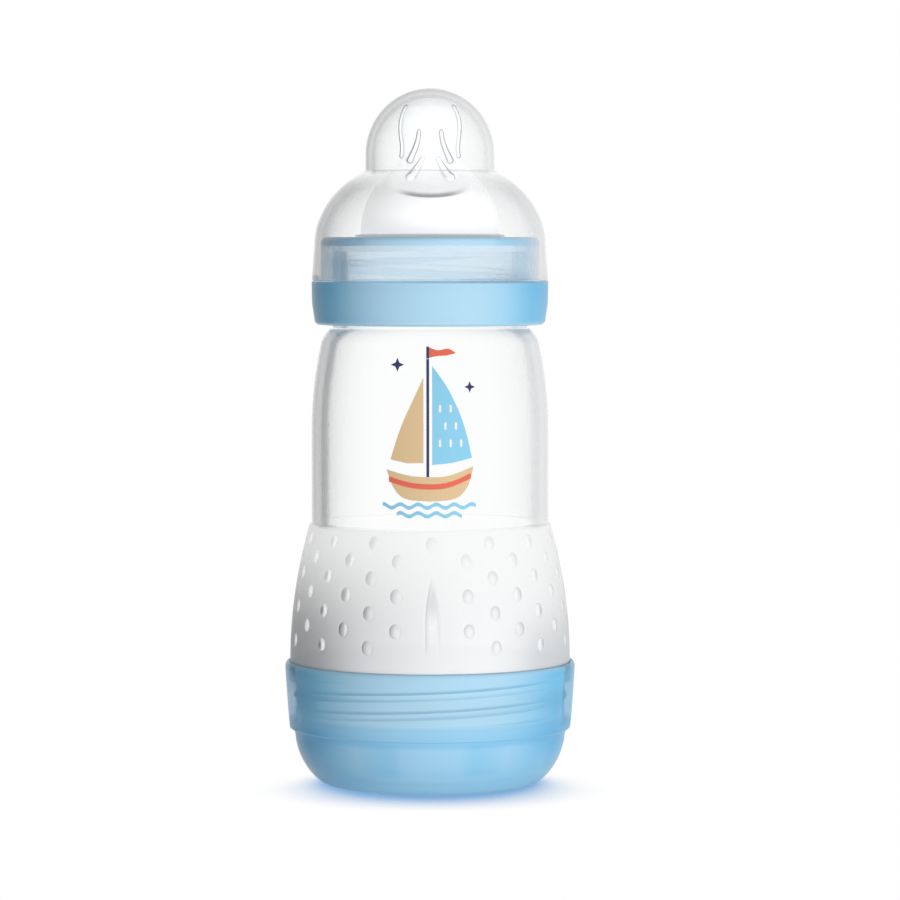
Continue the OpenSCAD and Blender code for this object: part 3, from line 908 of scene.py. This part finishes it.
ring_outline = (
    arc(BAND_LOW_R - 1.3, ring_low_z + 1.3, 1.3, 1.3, -90, 0, 10)
    + [(BAND_R - 0.12, ring_low_z + 5), (BAND_R, ring_low_z + 8)]
    + arc(BAND_R - 0.5, band_top_z - 0.5, 0.5, 0.5, 0, 90, 5)
    + [(CROWN_R + 0.2, band_top_z), (CROWN_R, band_top_z + 0.15)]
    + arc(CROWN_R - 1.3, ring_top_z - 1.3, 1.3, 1.3, 0, 90, 10)
    + [(TEAT_HOLE_R + 0.3, ring_top_z), (TEAT_HOLE_R, ring_top_z - 0.3)]
    + [(TEAT_HOLE_R, plate_z + 0.3), (TEAT_HOLE_R + 0.3, plate_z), (RING_BORE_R, plate_z)]
    + [(RING_BORE_R, band_top_z - 3), (BAND_IN_R + 0.3, band_top_z - 5), (BAND_IN_R, ring_low_z + 0.2)]
    + [(BAND_IN_R + 0.2, ring_low_z)]
)
ring = turned(ring_outline, 192)
finish_piece(ring, "ring_shell", "screw_ring", ring_blue, ring_blue_inside, ["screw_ring"], sharp=32)

# %% [markdown]
# The teat
# The teat is a round dome that two scoops cut into a flat nipple. It could be sculpted, but the maths of it is
# short: the dome and an oval are worked out at each height, and the skin takes the nearer of the two, with a
# soft corner. A round teat is turned first, and each point is then drawn in to that skin.

# %% The teat
TEAT_R = 17.2
DOME_FOOT_H = 1.2
DOME_H = 18.4
NIPPLE_HALF_W = 7.7
NIPPLE_HALF_D = 4.8
WAIST = 0.3
WAIST_H = 22.3
TIP_H = 5
SCOOP_H = 10
TEAT_WALL = 1.25
LIP_R = 18.75
LIP_T = 0.5
CREASE_DEPTH = 0.8
OVAL_FULLNESS = 2.3
FEED_HOLE_R = 0.4
DOME_TOP_H = DOME_FOOT_H + DOME_H


def soft_pick(a, b, soft, sign):
    """The larger of two values for sign 1, the smaller for -1, with a soft corner where they cross."""
    return (a + b + sign * math.sqrt((a - b) ** 2 + soft**2)) / 2


def dome_radius(h):
    """The dome's radius at a height above the ring."""
    return TEAT_R * math.sqrt(max(0, 1 - (max(0, h - DOME_FOOT_H) / DOME_H) ** 2))


def tip_left(h):
    """How much of the nipple is left at a height, as its top rounds off."""
    return math.sqrt(max(0, 1 - (max(0, h - teat_h + TIP_H) / TIP_H) ** 2))


def half_width(h):
    """Half the teat's width at a height."""
    nipple = NIPPLE_HALF_W - WAIST * max(0, 1 - ((h - WAIST_H) / 4.5) ** 2)
    return soft_pick(dome_radius(h), nipple, 1.8, 1) - 0.85 * TIP_H * (1 - tip_left(h))


def half_depth(h):
    """Half the depth of the teat between its two scoops, at a height."""
    reach = dome_radius(SCOOP_H) - NIPPLE_HALF_D
    widen = (max(0, DOME_TOP_H - h) / (DOME_TOP_H - SCOOP_H)) ** 2.2
    return (NIPPLE_HALF_D + reach * widen) * max(0.02, tip_left(h))


def skin(turn, h):
    """The distance from the axis to the teat's skin, with a crease just inside each scoop's lower lip."""
    a = half_width(h)
    wide = max(a, NIPPLE_HALF_W + 3.2 * (a - NIPPLE_HALF_W))
    x, y = abs(math.cos(turn)) / wide, abs(math.sin(turn)) / half_depth(h)
    oval = (x**OVAL_FULLNESS + y**OVAL_FULLNESS) ** (-1 / OVAL_FULLNESS)
    crease = math.exp(-(((oval - a + 0.75) / 0.6) ** 2)) * (1 - rise(h, 12, 15))
    return soft_pick(a, oval, 0.4, -1) - CREASE_DEPTH * crease * math.sin(turn) ** 2


def reshape(piece, move):
    """Move every point of a piece: move takes and gives a place in millimetres."""
    for vertex in piece.data.vertices:
        vertex.co = Vector(move(vertex.co / MM)) * MM


def draw_in(spot):
    """Draw a point of the round teat in to the skin, or to the inside of its wall."""
    h = spot.z - ring_top_z
    r = math.hypot(spot.x, spot.y)
    if h < 1 or r < 0.001:
        return spot
    a = half_width(h)
    turn = math.atan2(spot.y, spot.x)
    wall = TEAT_WALL if r < a - 0.5 * TEAT_WALL and h < teat_h - 0.5 * TEAT_WALL else 0
    share = (skin(turn, h) - wall) / (a - wall)
    return spot.x * share, spot.y * share, spot.z


outside_h = spread(DOME_FOOT_H, teat_h - TIP_H, 84) + [
    teat_h - TIP_H * (1 - math.sin(math.radians(t))) for t in spread(4, 90, 16)
]
inside_h = spread(DOME_FOOT_H, teat_h - 2 * TEAT_WALL, 36)
roof_z = ring_top_z + inside_h[-1] + 0.8
lip_z = ring_top_z + 0.02
bore_r = TEAT_R - TEAT_WALL - 0.6
teat_outline = (
    [(0, roof_z)]
    + [(half_width(h) - TEAT_WALL, ring_top_z + h) for h in reversed(inside_h)]
    + [(bore_r, ring_top_z + 0.6), (bore_r, upper_rim_z), (NECK_R - 0.1, upper_rim_z)]
    + [(NECK_R - 0.1, plate_z), (TEAT_HOLE_R - 0.3, plate_z), (TEAT_HOLE_R - 0.3, lip_z)]
    + [(LIP_R - 1.3, lip_z), (LIP_R - 0.1, lip_z + 0.2), (LIP_R, lip_z + 0.34), (LIP_R - 0.12, lip_z + LIP_T)]
    + [(TEAT_R + 0.4, lip_z + LIP_T + 0.1), (TEAT_R + 0.02, lip_z + 0.88)]
    + [(half_width(h), ring_top_z + h) for h in outside_h]
    + [(half_width(teat_h) * t, ring_top_z + teat_h) for t in (0.66, 0.33, 0)]
)
teat = turned(teat_outline, 160)
reshape(teat, draw_in)
bpy.ops.mesh.primitive_cylinder_add(
    vertices=16, radius=FEED_HOLE_R * MM, depth=8 * MM, location=(0, 0, (ring_top_z + teat_h) * MM)
)
cut(teat, bpy.context.object)
finish_piece(teat, "teat_skin", "teat", teat_silicone, replaced=["teat"], sharp=50)

# %% [markdown]
# Ribs on the nipple
# Fine raised ribs stiffen the nipple so that it doesn't fold flat. There are three on each side of the front
# and of the back: one down the nipple's edge and two that fan out. Each is drawn once by a few points, made
# smooth, laid on the skin, and mirrored by its signs.

# %% Ribs on the nipple
edge_rib = [(5.7, 32.75), (6.55, 31.1), (7.2, 29.1), (7.35, 27.15)]
edge_rib += [(7.25, 25.2), (6.95, 22.9), (6.95, 21.2), (7.2, 19.6)]
upper_rib = [(2.75, 26.8), (2.9, 24.65), (3.6, 22.2), (4.6, 19.9), (5.3, 18.3)]
lower_rib = [(1.6, 20.05), (2.8, 17.8), (4.1, 15.7), (5.5, 13.9)]


def between(t, a, b, c, d):
    """A share t of the way from b to c, on a smooth curve that comes from a and goes on to d."""
    bend = (2 * a - 5 * b + 4 * c - d) * t**2 + (3 * b - a - 3 * c + d) * t**3
    return 0.5 * (2 * b + (c - a) * t + bend)


def smooth_path(points, steps):
    """A smooth curve through points of any size, with so many steps between two of them."""
    ends = [points[0], *points, points[-1]]
    made = []
    for beside in zip(ends, ends[1:], ends[2:], ends[3:]):
        for t in spread(0, 1, steps)[:-1]:
            made.append(tuple(between(t, *values) for values in zip(*beside)))
    return made + [points[-1]]


def on_the_skin(x, h, side, sink):
    """The place on the front (side -1) or back (1) of the teat at a distance x across and a height."""
    low, high = 0, math.pi / 2
    for _ in range(30):
        turn = (low + high) / 2
        if skin(turn, h) * math.cos(turn) > abs(x):
            low = turn
        else:
            high = turn
    depth = max(0, skin(turn, h) * math.sin(turn) - sink)
    return x, side * depth, ring_top_z + h


def rib(name, path, start_r, end_r, side, hand, finish=rib_silicone):
    """One rib on one side of the teat, left (hand -1) or right (1), from a start to an end radius."""
    spots = smooth_path(path, 5)
    last = len(spots) - 1
    radii = spread(start_r, end_r, last)
    points = [on_the_skin(hand * x, h, side, 0.5 * r - 0.12) for (x, h), r in zip(spots, radii)]

    def radius_at(i):
        return radii[i] * math.sqrt(min(1, 0.12 + min(i, last - i) / 2))

    return ridge(points, radius_at, "teat", name, finish)


for side, face in ((-1, "front"), (1, "back")):
    for hand, where in ((-1, "left"), (1, "right")):
        rib(f"edge_rib_{face}_{where}", edge_rib, 0.48, 0.55, side, hand)
        rib(f"upper_rib_{face}_{where}", upper_rib, 0.5, 0.92, side, hand)
        rib(f"lower_rib_{face}_{where}", lower_rib, 0.5, 1.35, side, hand, low_rib_silicone)

# %% [markdown]
# The cap
# The cap is one thin clear shell: a skirt that slips over the ring's crown, a wide shoulder, and a small dome
# over the nipple. The two domes meet in a crease. The outline goes up the inside and down the outside, so
# that both ends lie on the axis and the shell closes by itself. A fine line marks the crease, and the rim
# covers more, since both are thick places where less light gets through.

# %% The cap
CAP_WALL = 1.4
CAP_R = CROWN_R + 0.3 + CAP_WALL
SHOULDER_DOME_H = 22.4
SMALL_DOME_R = 16.05
SMALL_DOME_H = 16.5
CREASE_IN = 0.4
CREASE_Z = plate_z + SHOULDER_DOME_H * (1 - ((SMALL_DOME_R + CREASE_IN) / CAP_R) ** 2) ** 0.5


def two_domes(wall):
    """The shoulder up to the crease, then the small dome up to the axis, moved in by a wall."""
    r = CAP_R - wall
    h = SHOULDER_DOME_H - wall
    small_r = SMALL_DOME_R - wall
    crease = math.acos((small_r + CREASE_IN) / r)
    crease_z = plate_z + h * math.sin(crease)
    return (
        arc(0, plate_z, r, h, 0, math.degrees(crease), 36)
        + [(small_r + 0.14, crease_z + 0.16), (small_r + 0.02, crease_z + 0.5)]
        + arc(0, cap_top_z - SMALL_DOME_H, small_r, SMALL_DOME_H - wall, 0, 90, 44)[:-1]
        + [(0, cap_top_z - wall)]
    )


cap_outside = [(BAND_R - 0.25, band_top_z), (BAND_R, band_top_z + 0.25)] + two_domes(0)
cap_inside = [(BAND_R - CAP_WALL, band_top_z + 0.1)] + two_domes(CAP_WALL)
cap = turned(cap_inside[::-1] + cap_outside, 192)


def cap_marks(tree, height):
    """A fine line at the crease, and more cover where the rim is seen edge on."""
    crease = height.band(CREASE_Z - 0.3, CREASE_Z + 0.1, 0.15)
    rim = (1 - height.rise(band_top_z + 0.6, band_top_z + 1.8)) * edge_on(tree).rise(0.5, 0.8)
    return 0.35 * crease + 0.5 * rim


clear_cap = clear_finish("clear_cap", 0, 1.35, 2.2, marks_at=cap_marks)
finish_piece(cap, "cap_shell", "cap", clear_cap, clear_inside, ["cap"], sharp=32)

# %% [markdown]
# The valve
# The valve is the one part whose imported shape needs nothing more: a soft disc with slit nubs that is only seen
# as a shadow through the base. It keeps its mesh and gets the silicone finish.

# %% The valve
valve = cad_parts["valve"]
valve.data.materials.clear()
valve.data.materials.append(valve_silicone)
print("the valve keeps its packed mesh of", len(valve.data.polygons), "faces")

# %% [markdown]
# The print
# A small picture is printed on the clear wall: a sailing boat on two waves, in sand, sky blue, coral and navy.
# It could be painted in a texture, but flat shapes stay sharp at any distance. Each one is drawn as an
# outline, filled, sliced so that it can bend, wrapped round the wall and given the thickness of ink.

# %% The print
INK_T = 0.03
SLICE = 1.5
PRINT_LIFT = 2.2
WAVE_LENGTH = 4.4
WAVE_SWELL = 0.45
WAVE_BAND = 0.95


def ink(name, code):
    """A flat ink with a very fine, uneven grain."""
    finish, tree = new_finish(name)
    spot, _ = place_on(tree)
    grain = mottle(tree, spot, 3000)
    pale = [0.94 * c + 0.03 for c in paint(code)[:3]] + [1]
    show(tree, plastic(tree, {"Base Color": grain.blend(paint(code), pale), "Roughness": 0.35 + 0.1 * grain}))
    return finish


sand = ink("ink_sand", "e5c698")
sky = ink("ink_sky", "8ed4f2")
coral = ink("ink_coral", "ec684e")
navy = ink("ink_navy", "16205c")
white = ink("ink_white", "fbfbfb")


def wrap(layer):
    """A move that wraps a flat drawing round the front of the clear wall, on a layer of ink."""

    def move(spot):
        z = spot.z + PRINT_LIFT
        r = clear_radius(z) + 0.02 + layer * (INK_T + 0.01)
        turn = spot.x / clear_radius(z)
        return r * math.sin(turn), -r * math.cos(turn), z

    return move


def printed(name, outline, finish, layer):
    """Print one flat shape, whose outline is (across, height) points, on the bottle's front."""
    piece = draw([(x, 0, z) for x, z in outline])
    close_chain(piece)
    edit_all()
    bpy.ops.mesh.edge_face_add()
    for axis, normal, step in ((0, (1, 0, 0), SLICE), (1, (0, 0, 1), 4 * SLICE)):
        ends = [point[axis] for point in outline]
        slices = math.ceil((max(ends) - min(ends)) / step)
        for place in spread(min(ends), max(ends), slices)[1:-1]:
            bpy.ops.mesh.select_all(action="SELECT")
            bpy.ops.mesh.bisect(plane_co=Vector(normal) * place * MM, plane_no=normal)
    bpy.ops.object.mode_set(mode="OBJECT")
    reshape(piece, wrap(layer))
    piece.data.update()
    edit_all()
    bpy.ops.mesh.normals_make_consistent(inside=False)
    bpy.ops.object.mode_set(mode="OBJECT")
    if piece.data.polygons[0].normal.y > 0:
        edit_all()
        bpy.ops.mesh.flip_normals()
        bpy.ops.object.mode_set(mode="OBJECT")
    modify(piece, "SOLIDIFY", thickness=INK_T * MM, offset=1)
    return finish_piece(piece, name, "bottle", finish)


def wave(low_x, high_x, z):
    """A wavy band: the top edge from left to right, and the lower edge back."""
    xs = spread(low_x, high_x, round((high_x - low_x) / WAVE_LENGTH * 12))
    top = [(x, z + WAVE_SWELL * math.sin(2 * math.pi * x / WAVE_LENGTH)) for x in xs]
    return top + [(x, y - WAVE_BAND) for x, y in reversed(top)]


def star(x, z, r):
    """A small star with four points."""
    turns = [math.pi * (i / 4 + 0.5) for i in range(8)]
    sizes = [r, 0.42 * r] * 4
    return [(x + size * math.cos(t), z + size * math.sin(t)) for t, size in zip(turns, sizes)]


def drop(x, z, width, length):
    """A short upright stroke with round ends."""
    r = width / 2
    return arc(x, z + length / 2, r, r, 0, 180, 6) + arc(x, z - length / 2, r, r, 180, 360, 6)


deck = smooth_path([(-11.2, 77.8), (-4.5, 76.2), (3.5, 76.2), (10.4, 78.6)], 6)
keel = smooth_path([(10.4, 78.6), (8.6, 73.2), (4.6, 70.4), (-5.4, 70.4), (-9.2, 73), (-11.2, 77.8)], 6)
stripe_top = [(x * 0.94 - 0.05, z - 1.7) for x, z in deck]
main_leech = smooth_path([(0.1, 103), (4.2, 97), (7.8, 89), (10, 80.6)], 6)
jib_leech = smooth_path([(-2, 100.2), (-4.4, 95), (-7.6, 88), (-10.2, 80.2)], 6)
pennant_top = smooth_path([(-0.6, 107.4), (1.6, 106.7), (4, 107.1), (6, 106)], 4)
pennant_foot = smooth_path([(3.6, 105.4), (1.4, 105.3), (-0.6, 104.9)], 4)
shapes = [
    ("hull", deck + keel[1:-1], sand, 0),
    ("stripe", stripe_top + [(x, z - 1.3) for x, z in reversed(stripe_top)], coral, 1),
    ("mast", [(-1.3, 76), (-0.6, 76), (-0.6, 104.6), (-1.3, 104.6)], navy, 1),
    ("main_sail", [(0.1, 78.9)] + main_leech + [(5, 79.4)], sky, 0),
    ("jib", [(-2, 79.4)] + jib_leech + [(-6, 79.3)], sand, 0),
    ("pennant", pennant_top + pennant_foot, coral, 0),
    ("staff", [(-1.3, 104.7), (-0.6, 104.7), (-0.6, 107.6), (-1.3, 107.6)], navy, 0),
    ("wave_1", wave(-12.2, 11, 69.4), sky, 0),
    ("wave_2", wave(-8.6, 7.4, 67.3), sky, 0),
    ("star_1", star(-8.4, 103.2, 1.7), navy, 0),
    ("star_2", star(9.4, 97.8, 1.4), navy, 0),
]
drops = [(2, 84.2), (4.6, 84.2), (7.2, 84.2), (3.3, 88.4), (5.9, 88.4), (2, 92.6), (4.6, 92.6)]
shapes += [(f"drop_{i + 1}", drop(x, z, 0.55, 1.3), white, 1) for i, (x, z) in enumerate(drops)]
for name, outline, finish, layer in shapes:
    printed(f"print_{name}", outline, finish, layer)

# %% [markdown]
# The floor
# The bottle stands on a white light table, which is bright by itself. Close to the base the table sees less of
# the open air, and an Ambient Occlusion node measures how much less, so the base keeps a soft shadow round its
# foot. The node looks up and back, so the shadow is deeper in front of the foot. The shadow is blue, as it is
# under tinted plastic that lets blue light through.

# %% The floor
SHADE_REACH = 0.031
SHADE_BLUE = (0.2, 0.41, 0.7, 1)
LEAN_BACK = 0.74
LEAN_UP = 0.67

floor_finish, tree = new_finish("floor")
leant = tree.node("CombineXYZ", {"Y": LEAN_BACK, "Z": LEAN_UP})
open_air = tree.node("AmbientOcclusion", {"Distance": SHADE_REACH, "Normal": leant}, "AO", samples=16)
shadow = tree.node("Emission", {"Color": SHADE_BLUE, "Strength": 1})
white_table = tree.node("Emission", {"Color": (1, 1, 1, 1), "Strength": 1})
show(tree, mixed(tree, open_air.rise(0.18, 0.76), shadow, white_table))

bpy.ops.mesh.primitive_circle_add(vertices=96, radius=3, fill_type="NGON", location=(0, 0, 0))
floor = bpy.context.object
floor.name = "floor"
floor.data.materials.append(floor_finish)
floor.visible_shadow = False
floor.visible_diffuse = False

# %% [markdown]
# Light
# The table is clear to the lamp, as on a light table, so the bottle is lit from below as well. Soft light
# comes from all round, a little more from the right, from behind and from above. A broad lamp stands near the
# camera, a little to the right and low, which leaves the left side of each part greyer.
# What the camera, gloss and clear plastic see behind the bottle is plain white.

# %% Light
FROM_ALL_ROUND = 0.27
FROM_THE_RIGHT = 0.18
FROM_BEHIND = 0.3
FROM_ABOVE = 0.14
LAMP_PLACE = Vector((0.31, -0.99, -0.13))
LAMP_AIM = Vector((0, 0, 0.09))

world = bpy.data.worlds.new("studio")
world.use_nodes = True
world.node_tree.nodes.clear()
bpy.context.scene.world = world
air = Wire(world.node_tree)
side = air.node("SeparateXYZ", {"Vector": air.node("TexCoord", out="Generated")})
path = air.node("LightPath", out="Is Camera Ray")
seen = path.at_least(path.other("Is Glossy Ray")).at_least(path.other("Is Transmission Ray"))
behind = side.other("Y").at_least(0) ** 2
above = side.other("Z").at_least(0)
soft = FROM_ALL_ROUND + FROM_THE_RIGHT * side + FROM_BEHIND * behind + FROM_ABOVE * above
sky_light = air.node("Background", {"Color": (1, 1, 1, 1), "Strength": soft + seen * (1 - soft)})
air.node("OutputWorld", {"Surface": sky_light})

bpy.ops.object.light_add(type="AREA", location=LAMP_PLACE)
lamp = bpy.context.object
lamp.name = "front_lamp"
lamp.rotation_euler = (LAMP_AIM - LAMP_PLACE).to_track_quat("-Z", "Y").to_euler()
lamp.data.shape = "RECTANGLE"
lamp.data.size = 0.8
lamp.data.size_y = 0.5
lamp.data.energy = 7.9
lamp.visible_glossy = False
bpy.context.scene.view_settings.view_transform = "Standard"
bpy.context.scene.cycles.transparent_max_bounces = 48
print("one lamp,", lamp.name, "and soft light from all round")
